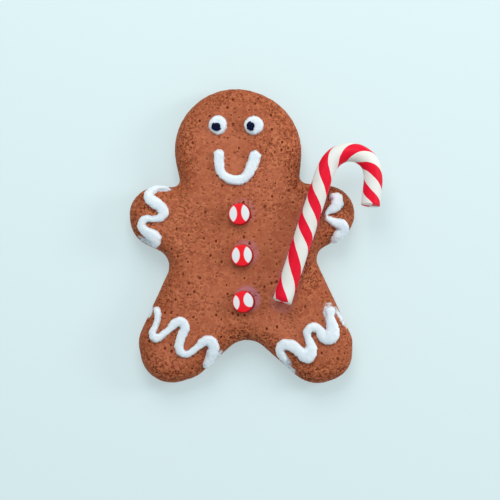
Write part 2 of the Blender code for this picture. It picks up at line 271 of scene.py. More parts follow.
# Buttons. The MIDDLE is taken off the unevenness, so that it mostly takes clay away.
BUTTON_RADIUS = 2.5 * MM
BUTTON_SEGMENTS = 64
BUTTON_EDGE = 0.28 * MM
BUTTON_LEAN = 0.35 * MM
BUTTON_SINK = 0.3 * MM
BUTTON_OUT_OF_ROUND = 0.03
BUTTON_OUT_OF_ROUND_SIZE = 2.0 * MM
BUTTON_OUT_OF_ROUND_MIDDLE = 0.6
BUTTON_VARIETY = 9
BUTTON_EDGE_STEPS = 4
BUTTON_CREASE_ANGLE = math.radians(35)
BUTTON_CLOUD_SIZE = 2.0 * MM
BUTTON_DIMPLE_SIZE = 0.35 * MM
# Petals. PETAL_EDGE is where a petal's soft edge starts and ends, in its own half sizes.
# The others are in button radii: how far the petals reach, how deep they go, and the heights from
# the face between which the red of the side turns to painted shade.
PETAL_REACH = 0.93
PETAL_DEPTH = 0.5
PETAL_EDGE = (0.94, 1.06)
SIDE_SHADE_DEPTHS = (-0.05, -0.2)
# Each button's two white petals on red: centre and half size in button radii
PETALS = {
    "button_upper": ((-0.95, 0.02, 0.72, 0.90), (0.95, 0.20, 0.78, 1.00)),
    "button_middle": ((-0.95, 0.02, 0.74, 0.88), (0.95, 0.14, 0.78, 0.95)),
    "button_lower": ((-0.95, -0.12, 0.60, 0.78), (0.62, 0.22, 0.60, 0.70)),
}

# Camera and light
VIEW_CENTRE = (-1.3 * MM, -3.43 * MM, 6.5 * MM)
VIEW_DISTANCE = 700 * MM
VIEW_ELEVATION = math.radians(88)
VIEW_WIDTH = 117.0 * MM
SENSOR = 36.0
FLOOR_SIZE = 0.6
WORLD_COLOUR = (0.9, 0.97, 1.0, 1.0)
WORLD_STRENGTH = 0.49
# Each light: name, place, size, power and colour
LIGHTS = [
    ("window", (-0.03, 0.24, 0.3), 0.22, 0.76, (1.0, 0.98, 0.95)),
    ("side", (0.45, 0.1, 0.25), 0.16, 0.92, (1.0, 0.98, 0.95)),
]


def srgb(red, green, blue):
    """A colour as a screen shows it, 0 to 255, as the linear colour that a shader takes."""
    def linear(value):
        value /= 255
        return value / 12.92 if value <= 0.04045 else ((value + 0.055) / 1.055) ** 2.4
    return (linear(red), linear(green), linear(blue), 1.0)


DOUGH = srgb(169, 92, 61)
DOUGH_LIGHT = srgb(186, 105, 74)
DOUGH_DARK = srgb(148, 60, 22)
# Painted shade for the dough's rounded rim
RIM_PAINTED_SHADE = srgb(142, 63, 17)
# Pale crumbly grain, and the painted highlight on the lips of the pinholes
CRUMB_AND_LIP_HIGHLIGHT = srgb(216, 134, 92)
SPECK = srgb(214, 196, 180)
# Painted shade in the pinholes and creases
PINHOLE_PAINTED_SHADE = srgb(112, 24, 0)
# Painted sheen on the glue round the cane and buttons
GLUE_PAINTED_SHEEN = srgb(196, 126, 140)
ICING = srgb(230, 240, 246)
ICING_COOL = srgb(220, 232, 243)
ICING_THIN = srgb(208, 216, 228)
PUPIL = srgb(1, 5, 34)
PUPIL_LIGHT = srgb(4, 14, 56)
CANE_RED = srgb(240, 6, 50)
CANE_RED_DEEP = srgb(228, 2, 42)
CANE_WHITE = srgb(236, 238, 235)
CANE_WHITE_WARM = srgb(230, 228, 220)
BUTTON_RED = srgb(242, 16, 26)
BUTTON_RED_PINK = srgb(242, 26, 48)
# Painted shade on the side of a button slice
BUTTON_SIDE_PAINTED_SHADE = srgb(170, 10, 24)
BUTTON_WHITE = srgb(228, 233, 236)
FLOOR = srgb(163, 178, 180)
FLOOR_GLOW = srgb(216, 236, 240)
FLOOR_GLOW_STRENGTH = 0.5


# Node trees

def add_node(tree, kind, inputs=None, **settings):
    """A node with its settings, its inputs set to values or linked from other nodes' sockets."""
    made = tree.nodes.new(kind)
    for name, value in settings.items():
        setattr(made, name, value)
    for key, value in (inputs or {}).items():
        if isinstance(value, bpy.types.NodeSocket):
            tree.links.new(value, made.inputs[key])
        else:
            made.inputs[key].default_value = value
    return made


def math_node(tree, operation, first, second=0.0):
    return add_node(
        tree, "ShaderNodeMath", {0: first, 1: second}, operation=operation
    ).outputs[0]


def blend_colours(tree, share, first, second):
    return add_node(
        tree, "ShaderNodeMix", {0: share, 6: first, 7: second}, data_type="RGBA"
    ).outputs[2]


def remap(tree, value, from_low, from_high, to_low=0.0, to_high=1.0):
    return add_node(
        tree,
        "ShaderNodeMapRange",
        {0: value, 1: from_low, 2: from_high, 3: to_low, 4: to_high},
        interpolation_type="SMOOTHSTEP",
    ).outputs[0]


def noise_node(tree, place, size, detail=2.0, roughness=0.5, distortion=0.0):
    return add_node(
        tree,
        "ShaderNodeTexNoise",
        {
            "Vector": place,
            "Scale": 1 / size,
            "Detail": detail,
            "Roughness": roughness,
            "Distortion": distortion,
        },
    )


def add_sockets(tree, inputs, outputs):
    """Gives a node group its named inputs, each with a type and default, and its named outputs."""
    for name, (kind, default) in inputs.items():
        made = tree.interface.new_socket(name, in_out="INPUT", socket_type=kind)
        if default is not None:
            made.default_value = default
    for name, kind in outputs.items():
        tree.interface.new_socket(name, in_out="OUTPUT", socket_type=kind)
    return tree.nodes.new("NodeGroupInput"), tree.nodes.new("NodeGroupOutput")


def vector_node(tree, operation, first, second):
    key = "Scale" if operation == "SCALE" else 1
    return add_node(
        tree, "ShaderNodeVectorMath", {0: first, key: second}, operation=operation
    ).outputs[0]


def pinhole_layer(tree, place, scaling, share, cell, largest):
    """Pits of random size, one at most in each cell, and the lips round them, where a painted
    highlight goes.

    Share is how many of the cells have one."""
    cells = add_node(
        tree,
        "ShaderNodeTexVoronoi",
        {"Vector": vector_node(tree, "MULTIPLY", place, scaling), "Scale": 1 / cell},
        voronoi_dimensions="3D",
        feature="F1",
    )
    draw = add_node(tree, "ShaderNodeSeparateXYZ", {0: cells.outputs["Color"]}).outputs[0]
    excess = math_node(tree, "SUBTRACT", draw, math_node(tree, "SUBTRACT", 1.0, share))
    size = remap(tree, excess, 0.0, PIT_FULL_SIZE_DRAW, 0.0, largest)
    inside = math_node(tree, "SUBTRACT", size, cells.outputs["Distance"])
    has_lip_highlight = remap(tree, size, *PIT_RADIUS_WITH_LIP_HIGHLIGHT)
    lip_highlight = math_node(tree, "MULTIPLY", remap(tree, inside, *PIT_LIP_HIGHLIGHT), has_lip_highlight)
    return remap(tree, inside, *PIT_EDGE), lip_highlight


def crease_layer(tree, place, size):
    """Short creases: the level lines of a noise, broken up by a second one."""
    wave = noise_node(tree, place, size, detail=1.5, distortion=0.6).outputs[0]
    from_level = math_node(tree, "ABSOLUTE", math_node(tree, "SUBTRACT", wave, NOISE_MIDDLE))
    line = remap(tree, from_level, *CREASE_LINE, 1.0, 0.0)
    kept = noise_node(tree, place, CREASE_BREAK_SIZE * size, detail=0.0).outputs[0]
    return math_node(tree, "MULTIPLY", line, remap(tree, kept, *CREASE_BREAK))


def pinhole_nodes(tree, place, coarseness):
    """How deep the pressed texture is, 0 to 1, and where its lips are, which take a painted
    highlight.

    It has ragged pinholes of two sizes, and short creases where it is coarse."""
    bend = noise_node(tree, place, PIT_BEND_SIZE, detail=2.0).outputs["Color"]
    bend = vector_node(tree, "SUBTRACT", bend, (NOISE_MIDDLE,) * 3)
    bent = vector_node(tree, "ADD", place, vector_node(tree, "SCALE", bend, PIT_BEND))
    cluster = noise_node(tree, place, PIT_CLUSTER_SIZE, detail=1.0).outputs[0]
    crowd = math_node(tree, "ADD", coarseness, remap(tree, cluster, *CROWDING_BY_CLUSTER))
    share = remap(tree, crowd, *LARGE_PITS_BY_CROWD)
    large, large_lip_highlight = pinhole_layer(
        tree, bent, LARGE_PIT_SCALING, share, LARGE_PIT_CELL, LARGE_PIT_RADIUS
    )
    share = remap(tree, crowd, *SMALL_PITS_BY_CROWD)
    small, small_lip_highlight = pinhole_layer(
        tree, bent, SMALL_PIT_SCALING, share, SMALL_PIT_CELL, SMALL_PIT_RADIUS
    )
    creases = crease_layer(tree, bent, CREASE_SIZE)
    small = math_node(tree, "MULTIPLY", small, SMALL_PIT_STRENGTH)
    creases = math_node(tree, "MULTIPLY", creases, remap(tree, crowd, *CREASES_BY_CROWD))
    depth = math_node(tree, "MAXIMUM", large, math_node(tree, "MAXIMUM", small, creases))
    return depth, math_node(tree, "MAXIMUM", large_lip_highlight, small_lip_highlight)


def pinhole_group():
    tree = bpy.data.node_groups.new("pressed pinholes", "ShaderNodeTree")
    given, put_out = add_sockets(
        tree,
        {"Place": ("NodeSocketVector", None), "Coarseness": ("NodeSocketFloat", 0.5)},
        {"Depth": "NodeSocketFloat", "Lip Highlight": "NodeSocketFloat"},
    )
    depth, lip_highlight = pinhole_nodes(tree, given.outputs["Place"], given.outputs["Coarseness"])
    tree.links.new(depth, put_out.inputs["Depth"])
    tree.links.new(lip_highlight, put_out.inputs["Lip Highlight"])
    return tree


def worked_clay_group():
    """The marks of clay worked by hand: cloudy colour, and a skin of fine dimples."""
    tree = bpy.data.node_groups.new("worked clay", "ShaderNodeTree")
    given, put_out = add_sockets(
        tree,
        {
            "Place": ("NodeSocketVector", None),
            "Cloud Scale": ("NodeSocketFloat", 400.0),
            "Dimple Scale": ("NodeSocketFloat", 2500.0),
        },
        {"Cloud": "NodeSocketFloat", "Height": "NodeSocketFloat"},
    )
    cloud = add_node(
        tree,
        "ShaderNodeTexNoise",
        {"Vector": given.outputs["Place"], "Scale": given.outputs["Cloud Scale"], "Detail": 4.0},
    ).outputs[0]
    dimples = add_node(
        tree,
        "ShaderNodeTexNoise",
        {"Vector": given.outputs["Place"], "Scale": given.outputs["Dimple Scale"], "Detail": 3.0},
    ).outputs[0]
    tree.links.new(remap(tree, cloud, *CLOUD_RANGE), put_out.inputs["Cloud"])
    tree.links.new(dimples, put_out.inputs["Height"])
    return tree


def speck_group():
    """A scatter of small irregular specks, such as crumbs and lint."""
    tree = bpy.data.node_groups.new("stray specks", "ShaderNodeTree")
    given, put_out = add_sockets(
        tree,
        {
            "Place": ("NodeSocketVector", None),
            "Scale": ("NodeSocketFloat", 250.0),
            "Share": ("NodeSocketFloat", 0.1),
        },
        {"Mask": "NodeSocketFloat"},
    )
    cells = add_node(
        tree,
        "ShaderNodeTexVoronoi",
        {"Vector": given.outputs["Place"], "Scale": given.outputs["Scale"]},
        voronoi_dimensions="3D",
        feature="F1",
    )
    draw = add_node(tree, "ShaderNodeSeparateXYZ", {0: cells.outputs["Color"]}).outputs[1]
    chosen = math_node(tree, "LESS_THAN", draw, given.outputs["Share"])
    near = remap(tree, cells.outputs["Distance"], *SPECK_RADII, 1.0, 0.0)
    tree.links.new(math_node(tree, "MULTIPLY", chosen, near), put_out.inputs["Mask"])
    return tree


def petal_group():
    """A white petal on a button's face: an oval about a centre, in button radii."""
    tree = bpy.data.node_groups.new("clay petal", "ShaderNodeTree")
    given, put_out = add_sockets(
        tree,
        {
            "Face Place": ("NodeSocketVector", None),
            "Centre": ("NodeSocketVector", (0.0, 0.0, 0.0)),
            "Half Size": ("NodeSocketVector", (0.4, 0.7, 1.0)),
        },
        {"Mask": "NodeSocketFloat"},
    )
    from_centre = vector_node(
        tree, "SUBTRACT", given.outputs["Face Place"], given.outputs["Centre"]
    )
    scaled = vector_node(tree, "DIVIDE", from_centre, given.outputs["Half Size"])
    distance = add_node(
        tree, "ShaderNodeVectorMath", {0: scaled}, operation="LENGTH"
    ).outputs["Value"]
    tree.links.new(remap(tree, distance, *PETAL_EDGE, 1.0, 0.0), put_out.inputs["Mask"])
    return tree


def new_material(name, **constants):
    """A material, its tree and its shader, whose plain values are set on its own sockets."""
    made = bpy.data.materials.new(name)
    made.use_nodes = True
    tree = made.node_tree
    shader = tree.nodes["Principled BSDF"]
    for key, value in constants.items():
        shader.inputs[key.replace("_", " ")].default_value = value
    return made, tree, shader


def attribute(tree, name, output="Fac"):
    return add_node(
        tree, "ShaderNodeAttribute", attribute_name=name, attribute_type="GEOMETRY"
    ).outputs[output]


def object_place(tree):
    return tree.nodes.new("ShaderNodeTexCoord").outputs["Object"]


def group_node(tree, group, **inputs):
    named = {key.replace("_", " "): value for key, value in inputs.items()}
    return add_node(tree, "ShaderNodeGroup", named, node_tree=group)


def clay_marks(tree, groups, place, cloud_size, dimple_size):
    """The marks of worked clay, with the sizes of its clouds and dimples in metres."""
    return group_node(
        tree, groups["clay"], Place=place, Cloud_Scale=1 / cloud_size, Dimple_Scale=1 / dimple_size
    )


def bump(tree, height, distance, strength):
    inputs = {"Height": height, "Distance": distance, "Strength": strength}
    return add_node(tree, "ShaderNodeBump", inputs).outputs[0]


# Shared steps for the pieces

def merged_copy(frame, node):
    """The node's surface as one connected mesh."""
    bm = bmesh.new()
    bm.from_mesh(frame["nodes"][node].data)
    bmesh.ops.remove_doubles(bm, verts=bm.verts, dist=MERGE_REACH)
    return bm


def add_piece(name, bm, finish=None):
    """A new object from a bmesh, at the origin, with its faces pointing out."""
    bmesh.ops.recalc_face_normals(bm, faces=bm.faces)
    mesh = bpy.data.meshes.new(name)
    bm.to_mesh(mesh)
    bm.free()
    mesh.shade_smooth()
    if finish:
        mesh.materials.append(finish)
    obj = bpy.data.objects.new(name, mesh)
    bpy.context.scene.collection.objects.link(obj)
    return obj


def apply_modifiers(obj):
    graph = bpy.context.evaluated_depsgraph_get()
    finished = bpy.data.meshes.new_from_object(
        obj.evaluated_get(graph), preserve_all_data_layers=True, depsgraph=graph
    )
    obj.modifiers.clear()
    obj.data = finished
    finished.shade_smooth()


def remesh(obj, voxel, smoothing):
    """Rebuilds a piece from small even faces and rounds them off."""
    grid = obj.modifiers.new("grid", "REMESH")
    grid.mode = "VOXEL"
    grid.voxel_size = voxel
    round_off = obj.modifiers.new("round off", "SMOOTH")
    round_off.factor = 0.5
    round_off.iterations = smoothing
    apply_modifiers(obj)


def stand_in(obj, slot, *nodes):
    """Hangs a piece under the root and hides the solids it stands for; the slot is not used."""
    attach(obj, "root")
    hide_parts(*nodes)


def vertex_places(mesh):
    places = np.empty(len(mesh.vertices) * 3)
    mesh.vertices.foreach_get("co", places)
    return places.reshape(-1, 3)


def vertex_normals(mesh):
    normals = np.empty(len(mesh.vertices) * 3)
    mesh.vertex_normals.foreach_get("vector", normals)
    return normals.reshape(-1, 3)


def write_attribute(mesh, name, values):
    """Stores one number, or one vector, for each vertex."""
    vectors = np.ndim(values) == 2
    layer = mesh.attributes.new(name, "FLOAT_VECTOR" if vectors else "FLOAT", "POINT")
    layer.data.foreach_set("vector" if vectors else "value", np.ravel(values))


def soft_step(values, low, high):
    share = np.clip((values - low) / (high - low), 0.0, 1.0)
    return share * share * (3 - 2 * share)


def soft_spot(places, x, y, half_width, half_length, turn=0.0):
    """1 at a point given in mm and falling softly to 0 at the edge of an oval round it."""
    across = places[:, 0] - x * MM
    along = places[:, 1] - y * MM
    cos, sin = math.cos(turn), math.sin(turn)
    u = (across * cos + along * sin) / (half_width * MM)
    v = (along * cos - across * sin) / (half_length * MM)
    return soft_step(np.hypot(u, v), 1.0, 0.0)


def distance_to_line(places, line):
    """The distance in the plane to a chain of points given in mm."""
    nearest = np.full(len(places), np.inf)
    for (ax, ay), (bx, by) in zip(line, line[1:]):
        start = np.array([ax, ay]) * MM
        step = np.array([bx - ax, by - ay]) * MM
        from_start = places[:, :2] - start
        share = np.clip(from_start @ step / (step @ step), 0.0, 1.0)
        nearest = np.minimum(nearest, np.hypot(*(from_start - share[:, None] * step).T))
    return nearest


# Slab of dough

def close_underside(obj):
    """Swaps the small faces of the level underside for one face cut into triangles."""
    bm = bmesh.new()
    bm.from_mesh(obj.data)
    level = [
        face for face in bm.faces if max(vert.co.z for vert in face.verts) < UNDERSIDE_DEPTH
    ]
    bmesh.ops.delete(bm, geom=level, context="FACES")
    rim = [edge for edge in bm.edges if edge.is_boundary]
    patch = bmesh.ops.edgeloop_fill(bm, edges=rim)["faces"]
    bmesh.ops.triangulate(bm, faces=patch)
    bm.to_mesh(obj.data)
    bm.free()


def mark_dough(mesh, button_centres):
    """Raises the seats of what lies on the dough, and stores where its surface differs."""
    places = vertex_places(mesh)
    normals = vertex_normals(mesh)
    level = soft_step(normals[:, 2], *LEVEL_NORMAL)
    cane_seat = distance_to_line(places, CANE_LINE)
    seat = soft_step(cane_seat, SEAT_WIDTH, SEAT_CORE * SEAT_WIDTH)
    glue_and_sheen = GLUE_AND_SHEEN_BY_CANE * soft_step(cane_seat, CANE_RADIUS * GLUE_AND_SHEEN_BY_CANE_REACH, CANE_RADIUS)
    for name, (x, y) in button_centres.items():
        from_button = np.hypot(places[:, 0] - x, places[:, 1] - y)
        button_seat = soft_step(from_button, BUTTON_RADIUS, BUTTON_SEAT_CORE * BUTTON_RADIUS)
        seat = np.maximum(seat, button_seat)
        from_button = np.hypot(places[:, 0] - x - GLUE_AND_SHEEN_SHIFT[0], places[:, 1] - y - GLUE_AND_SHEEN_SHIFT[1])
        share = GLUE_AND_SHEEN_BY_BUTTON[name] * soft_step(from_button, GLUE_AND_SHEEN_REACH, BUTTON_RADIUS)
        glue_and_sheen = np.maximum(glue_and_sheen, share)
    places[:, 2] += SEAT_RISE * seat * level

    wall = places[np.abs(places[:, 2] - WALL_HEIGHT) < DOUGH_VOXEL / 2]
    tree = KDTree(len(wall))
    for index, (x, y, _) in enumerate(wall):
        tree.insert((x, y, 0.0), index)
    tree.balance()
    inset = np.array([tree.find((x, y, 0.0))[2] for x, y, _ in places])
    rim = soft_step(inset, RIM_WIDTH, RIM_CORE * RIM_WIDTH)
    coarseness = BASE_COARSENESS + RIM_COARSENESS * rim
    for x, y, width, length, amount in COARSE_PATCHES:
        coarseness += amount * soft_spot(places, x, y, width, length)
    smear = np.zeros(len(places))
    for x, y, width, length, turn, strength in SMEARS:
        spot = strength * soft_spot(places, x, y, width, length, math.radians(turn))
        smear = np.maximum(smear, spot)
    smear *= soft_step(places[:, 2], *SMEAR_HEIGHTS)

    mesh.vertices.foreach_set("co", places.ravel())
    mesh.update()
    write_attribute(mesh, "unpressed", places)
    write_attribute(mesh, "coarseness", np.clip(coarseness, 0.0, 1.0))
    write_attribute(mesh, "rim", rim)
    write_attribute(mesh, "glue_and_sheen", glue_and_sheen * level)
    write_attribute(mesh, "smear", smear)


def press_texture(obj):
    """Presses the pinholes into the dough and crumbles its rims, always inwards."""
    tree = bpy.data.node_groups.new("press", "GeometryNodeTree")
    tree.interface.new_socket("Geometry", in_out="INPUT", socket_type="NodeSocketGeometry")
    tree.interface.new_socket("Geometry", in_out="OUTPUT", socket_type="NodeSocketGeometry")
    given = tree.nodes.new("NodeGroupInput")
    put_out = tree.nodes.new("NodeGroupOutput")
    place = tree.nodes.new("GeometryNodeInputPosition").outputs[0]
    normal = tree.nodes.new("GeometryNodeInputNormal").outputs[0]
    named = tree.nodes.new("GeometryNodeInputNamedAttribute")
    named.inputs["Name"].default_value = "coarseness"
    coarseness = named.outputs["Attribute"]
    pits, _ = pinhole_nodes(tree, place, coarseness)
    pits = math_node(tree, "MULTIPLY", pits, PINHOLE_DEPTH)
    crumbs = noise_node(tree, place, CRUMB_SIZE, detail=3.0, roughness=0.6).outputs[0]
    crumbs = math_node(tree, "MULTIPLY", remap(tree, crumbs, *CRUMB_RISE), CRUMB_DEPTH)
    crumb_share = remap(tree, coarseness, *CRUMBS_BY_COARSENESS)
    crumbs = math_node(tree, "MULTIPLY", crumbs, crumb_share)
    depth = math_node(tree, "MULTIPLY", math_node(tree, "ADD", pits, crumbs), -1.0)
    offset = vector_node(tree, "SCALE", normal, depth)
    height = add_node(tree, "ShaderNodeSeparateXYZ", {0: place}).outputs[2]
    above_underside = add_node(
        tree, "FunctionNodeCompare", {0: height, 1: BASE_HEIGHT}, operation="GREATER_THAN"
    ).outputs[0]
    moved = add_node(
        tree,
        "GeometryNodeSetPosition",
        {"Geometry": given.outputs[0], "Selection": above_underside, "Offset": offset},
    )
    tree.links.new(moved.outputs[0], put_out.inputs[0])
    pressing = obj.modifiers.new("press", "NODES")
    pressing.node_group = tree
    apply_modifiers(obj)


def dough_material(groups):
    made, tree, shader = new_material("baked brown clay", Specular_IOR_Level=0.14)
    place = attribute(tree, "unpressed", "Vector")
    coarseness = attribute(tree, "coarseness")
    pressed = group_node(tree, groups["pinholes"], Place=place, Coarseness=coarseness)
    pits = pressed.outputs["Depth"]
    clay = clay_marks(tree, groups, place, CLOUD_SIZE, DIMPLE_SIZE)
    colour = blend_colours(tree, clay.outputs["Cloud"], DOUGH, DOUGH_LIGHT)
    grain = noise_node(tree, place, GRAIN_SIZE, detail=4.0, roughness=0.75).outputs[0]
    pale_share = remap(tree, coarseness, *PALE_BY_COARSENESS)
    pale = math_node(tree, "MULTIPLY", remap(tree, grain, *PALE_GRAIN), pale_share)
    colour = blend_colours(tree, pale, colour, CRUMB_AND_LIP_HIGHLIGHT)
    # The lips round the pinholes are lightened with a painted highlight.
    lip_highlight_share = remap(tree, coarseness, *LIP_HIGHLIGHTS_BY_COARSENESS)
    lip_highlight = math_node(tree, "MULTIPLY", pressed.outputs["Lip Highlight"], lip_highlight_share)
    colour = blend_colours(tree, lip_highlight, colour, CRUMB_AND_LIP_HIGHLIGHT)
    dark_share = remap(tree, coarseness, *DARK_BY_COARSENESS)
    dark = math_node(tree, "MULTIPLY", remap(tree, grain, *DARK_GRAIN), dark_share)
    colour = blend_colours(tree, dark, colour, DOUGH_DARK)
    # Painted shade darkens the dough towards its rounded rim.
    rim = math_node(tree, "MULTIPLY", attribute(tree, "rim"), RIM_SHADE_SHARE)
    colour = blend_colours(tree, rim, colour, RIM_PAINTED_SHADE)
    # Where there is glue the dough is glossier, and a painted sheen lightens it pinker.
    glue_and_sheen = attribute(tree, "glue_and_sheen")
    painted_sheen = math_node(tree, "MULTIPLY", glue_and_sheen, PAINTED_SHEEN_SHARE)
    colour = blend_colours(tree, painted_sheen, colour, GLUE_PAINTED_SHEEN)
    # Painted shade darkens the pinholes and creases.
    pit_shade = math_node(tree, "MULTIPLY", pits, PINHOLE_SHADE_SHARE)
    colour = blend_colours(tree, pit_shade, colour, PINHOLE_PAINTED_SHADE)
    specks = group_node(
        tree, groups["specks"], Place=place, Scale=1 / SPECK_SPACING, Share=SPECK_SHARE
    ).outputs[0]
    colour = blend_colours(tree, specks, colour, SPECK)
    smear = attribute(tree, "smear")
    worn = noise_node(tree, place, SMEAR_WEAR_SIZE, detail=4.0, roughness=0.6).outputs[0]
    veil = math_node(tree, "ADD", smear, math_node(tree, "SUBTRACT", worn, NOISE_MIDDLE))
    within = remap(tree, smear, *SMEAR_LIMIT)
    veil = math_node(tree, "MULTIPLY", remap(tree, veil, *SMEAR_COVER), within)
    colour = blend_colours(tree, veil, colour, ICING)
    tree.links.new(colour, shader.inputs["Base Color"])
    roughness = remap(tree, glue_and_sheen, *ROUGHNESS_BY_GLUE)
    tree.links.new(roughness, shader.inputs["Roughness"])
    height = math_node(tree, "ADD", clay.outputs["Height"], grain)
    pit_height = math_node(tree, "MULTIPLY", pits, PIT_IN_BUMP)
    height = math_node(tree, "SUBTRACT", height, pit_height)
    tree.links.new(bump(tree, height, *DOUGH_BUMP), shader.inputs["Normal"])
    return made


def make_dough(frame, groups):
    bm = merged_copy(frame, "cookie")
    dough = add_piece("dough", bm)
    remesh(dough, DOUGH_VOXEL, DOUGH_SMOOTHING)
    close_underside(dough)
    centres = {}
    for name in PETALS:
        low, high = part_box(name)
        centres[name] = ((low[0] + high[0]) / 2, (low[1] + high[1]) / 2)
    mark_dough(dough.data, centres)
    press_texture(dough)
    dough.data.materials.append(dough_material(groups))
    stand_in(dough, "dough", "cookie")


# Piped icing

def icing_material(groups):
    made, tree, shader = new_material(
        "soft white icing",
        Roughness=0.42,
        Subsurface_Weight=0.35,
        Subsurface_Radius=(1.0, 1.0, 1.0),
        Subsurface_Scale=ICING_SOFT_REACH,
    )
    place = object_place(tree)
    clay = clay_marks(tree, groups, place, ICING_CLOUD_SIZE, ICING_DIMPLE_SIZE)
    colour = blend_colours(tree, clay.outputs["Cloud"], ICING, ICING_COOL)
    thin = math_node(tree, "MULTIPLY", attribute(tree, "edge"), ICING_EDGE_SHARE)
    colour = blend_colours(tree, thin, colour, ICING_THIN)
    tree.links.new(colour, shader.inputs["Base Color"])
    tree.links.new(bump(tree, clay.outputs["Height"], *ICING_BUMP), shader.inputs["Normal"])
    return made


def pupil_material(groups):
    made, tree, shader = new_material("black paint dot", Roughness=0.4, Specular_IOR_Level=0.1)
    clay = clay_marks(tree, groups, object_place(tree), PUPIL_CLOUD_SIZE, PUPIL_DIMPLE_SIZE)
    colour = blend_colours(tree, clay.outputs["Cloud"], PUPIL, PUPIL_LIGHT)
    tree.links.new(colour, shader.inputs["Base Color"])
    tree.links.new(bump(tree, clay.outputs["Height"], *PUPIL_BUMP), shader.inputs["Normal"])
    return made


def lumpy(obj, swell, height, size, seed):
    """Swells the surface, and moves it in and out by a noise, most of all at its sides."""
    mesh = obj.data
    places = vertex_places(mesh)
    normals = vertex_normals(mesh)
    shift = Vector((seed, 0.0, 0.0))
    moves = np.array(
        [noise.fractal(Vector(place) / size + shift, *LUMP_NOISE) for place in places]
    )
    moves *= 1 - LEVELLING * np.clip(normals[:, 2], 0.0, 1.0)
    places += normals * (swell + moves * height)[:, None]
    mesh.vertices.foreach_set("co", places.ravel())
    mesh.update()


def make_icing(
    frame, node, surface, finish, voxel, lump, lump_size, seed, slot="icing", spread=1.0
):
    """A slightly lumpy bead that follows its solid, and reaches into the dough where it is near."""
    bm = merged_copy(frame, node)
    low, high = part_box(node)
    middle = Matrix.Translation([-(low[axis] + high[axis]) / 2 for axis in range(3)])
    bmesh.ops.scale(bm, verts=bm.verts, vec=(spread, spread, 1.0), space=middle)
    reaches = [surface.find_nearest(vert.co) for vert in bm.verts]
    top = max(distance for *_, distance in reaches)
    for vert, (foot, normal, _, distance) in zip(bm.verts, reaches):
        if distance < ICING_CONTACT:
            vert.co -= normal * ICING_SINK
        else:
            vert.co = foot + normal * top * (1 - (1 - distance / top) ** ICING_SHOULDER)
    piece = add_piece(node + "_bead", bm)
    remesh(piece, voxel, ICING_SMOOTHING)
    lumpy(piece, ICING_SWELL, lump, lump_size, seed)
    piece.data.materials.append(finish)
    distances = [surface.find_nearest(vert.co)[3] for vert in piece.data.vertices]
    write_attribute(piece.data, "edge", soft_step(np.array(distances), ICING_EDGE, 0.0))
    stand_in(piece, slot, node)


# Candy cane

def cane_centre_line(height):
    """The smooth curve through CANE_LINE, as a curve object."""
    curve = bpy.data.curves.new("cane_line", "CURVE")
    curve.dimensions = "3D"
    curve.twist_mode = "Z_UP"
    curve.resolution_u = CANE_STEPS
    spline = curve.splines.new("BEZIER")
    spline.bezier_points.add(len(CANE_LINE) - 1)
    for knot, (x, y) in zip(spline.bezier_points, CANE_LINE):
        knot.co = (x * MM, y * MM, height)
        knot.handle_left_type = "AUTO"
        knot.handle_right_type = "AUTO"
    line = bpy.data.objects.new("cane_line", curve)
    bpy.context.scene.collection.objects.link(line)
    return line


def evaluated_mesh(obj):
    graph = bpy.context.evaluated_depsgraph_get()
    return bpy.data.meshes.new_from_object(obj.evaluated_get(graph))


def close_cane_end(bm, rim, centre, outward):
    """Rounds the edge of a cut end and closes it in rings towards its centre."""
    for share, rise in CANE_END_RINGS:
        made = bmesh.ops.extrude_edge_only(bm, edges=rim)["geom"]
        rim = [item for item in made if isinstance(item, bmesh.types.BMEdge)]
        for vert in {vert for edge in rim for vert in edge.verts}:
            offset = vert.co - centre
            offset -= outward * offset.dot(outward)
            radius = offset.length
            vert.co = centre + offset * (share * CANE_RADIUS / radius) + outward * rise * MM
    bmesh.ops.edgeloop_fill(bm, edges=rim)


def make_cane(groups):
    low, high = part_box("candy_cane")
    height = (low[2] + high[2]) / 2
    line = cane_centre_line(height)
    path = vertex_places(evaluated_mesh(line))
    line.data.bevel_depth = CANE_RADIUS
    line.data.bevel_resolution = CANE_SIDES
    bm = bmesh.new()
    bm.from_mesh(evaluated_mesh(line))
    bmesh.ops.remove_doubles(bm, verts=bm.verts, dist=MERGE_REACH)
    bpy.data.objects.remove(line, do_unlink=True)
    tangents = np.gradient(path, axis=0)
    tangents /= np.linalg.norm(tangents, axis=1)[:, None]
    for end, outward in ((path[0], -tangents[0]), (path[-1], tangents[-1])):
        centre, outward = Vector(end), Vector(outward)
        rim = [
            edge
            for edge in bm.edges
            if edge.is_boundary and (edge.verts[0].co - centre).length < 2 * CANE_RADIUS
        ]
        close_cane_end(bm, rim, centre, outward)
    cane = add_piece("twisted_cane", bm)
    shape_cane(cane.data, path, tangents, height)
    cane.data.materials.append(cane_material(groups))
    stand_in(cane, "candy_cane", "candy_cane")


